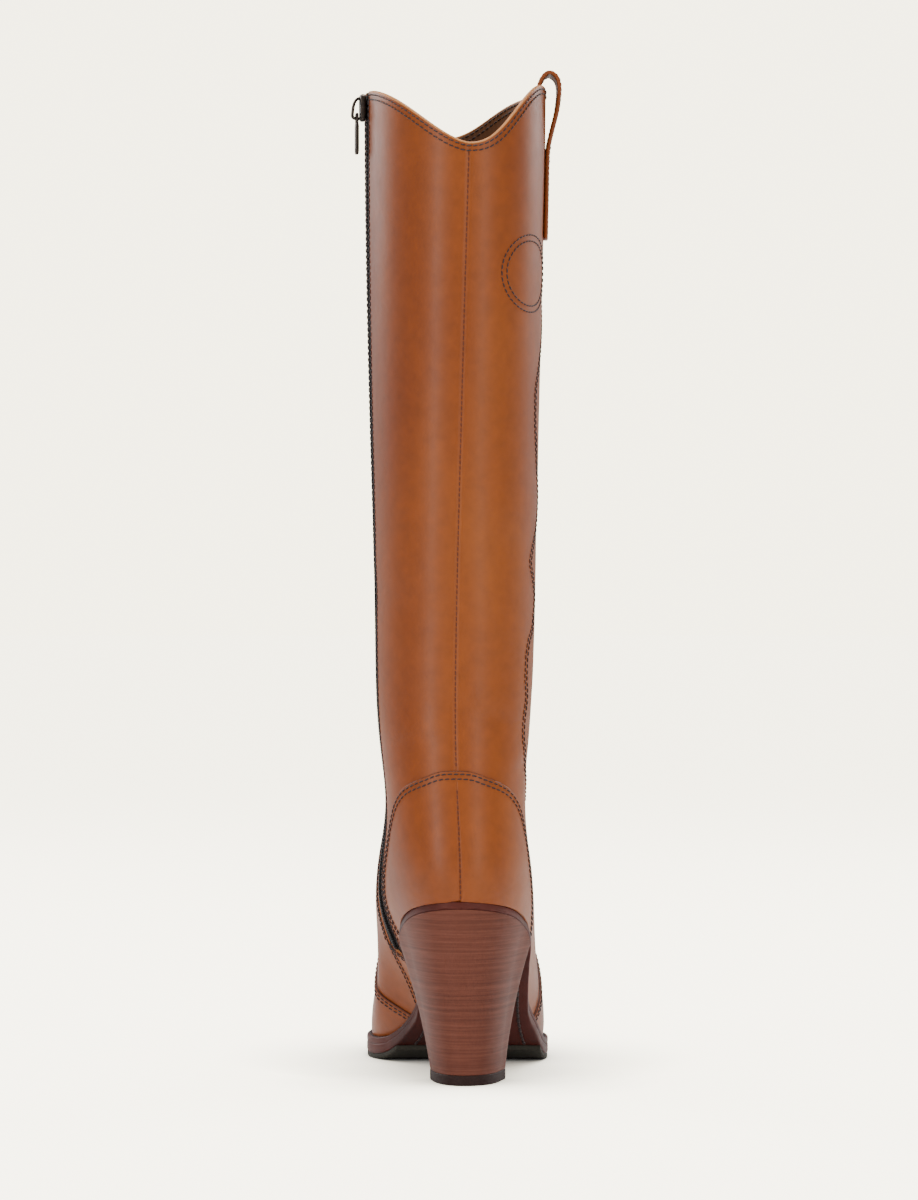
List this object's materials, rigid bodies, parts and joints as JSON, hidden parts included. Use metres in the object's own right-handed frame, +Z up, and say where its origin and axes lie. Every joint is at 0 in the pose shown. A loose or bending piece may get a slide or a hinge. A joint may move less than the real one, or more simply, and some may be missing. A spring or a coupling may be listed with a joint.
{
  "type": "knee-high boot",
  "caption": "Smooth leather knee-high boot with a scalloped collar, side zip, pull loop, leather sole and tall stacked heel.",
  "frame": {"origin": "middle of the object's bounding box, on the ground plane", "axes": "+Z up the shaft, +Y towards the toe, +X towards the outer side of the right foot"},
  "size_m": [0.1036, 0.2626, 0.4944],
  "materials": {
    "upper_leather": "smooth tan cowhide, softly polished",
    "lining_leather": "matte brown lining leather",
    "sole_leather": "reddish brown burnished sole leather",
    "heel_stack": "stacked leather lifts, stained reddish brown and waxed",
    "sole_rubber": "dark grey-brown rubber forepart",
    "lift_rubber": "dark brown rubber top lift",
    "zip_tape": "black woven tape with a fine coil",
    "zip_metal": "dark gunmetal"
  },
  "bodies": {
    "boot": {"upper": "upper_leather", "counter": "upper_leather", "insole": "lining_leather", "welt": "sole_leather", "outsole": "sole_leather", "half_sole": "sole_rubber", "heel_block": "heel_stack", "top_lift": "lift_rubber", "zip_tape": "zip_tape", "pull_loop": "upper_leather", "zip_slider": "zip_metal"},
    "zip_pull": {"zip_pull": "zip_metal"}
  },
  "joints": [
    {"name": "zip_pull_swing", "type": "hinge", "parent": "boot", "child": "zip_pull", "pos_m": [-0.04908, -0.06488, 0.4735], "axis": [-0.1402, 0.9901, 0], "range_deg": [0, 140]}
  ]
}
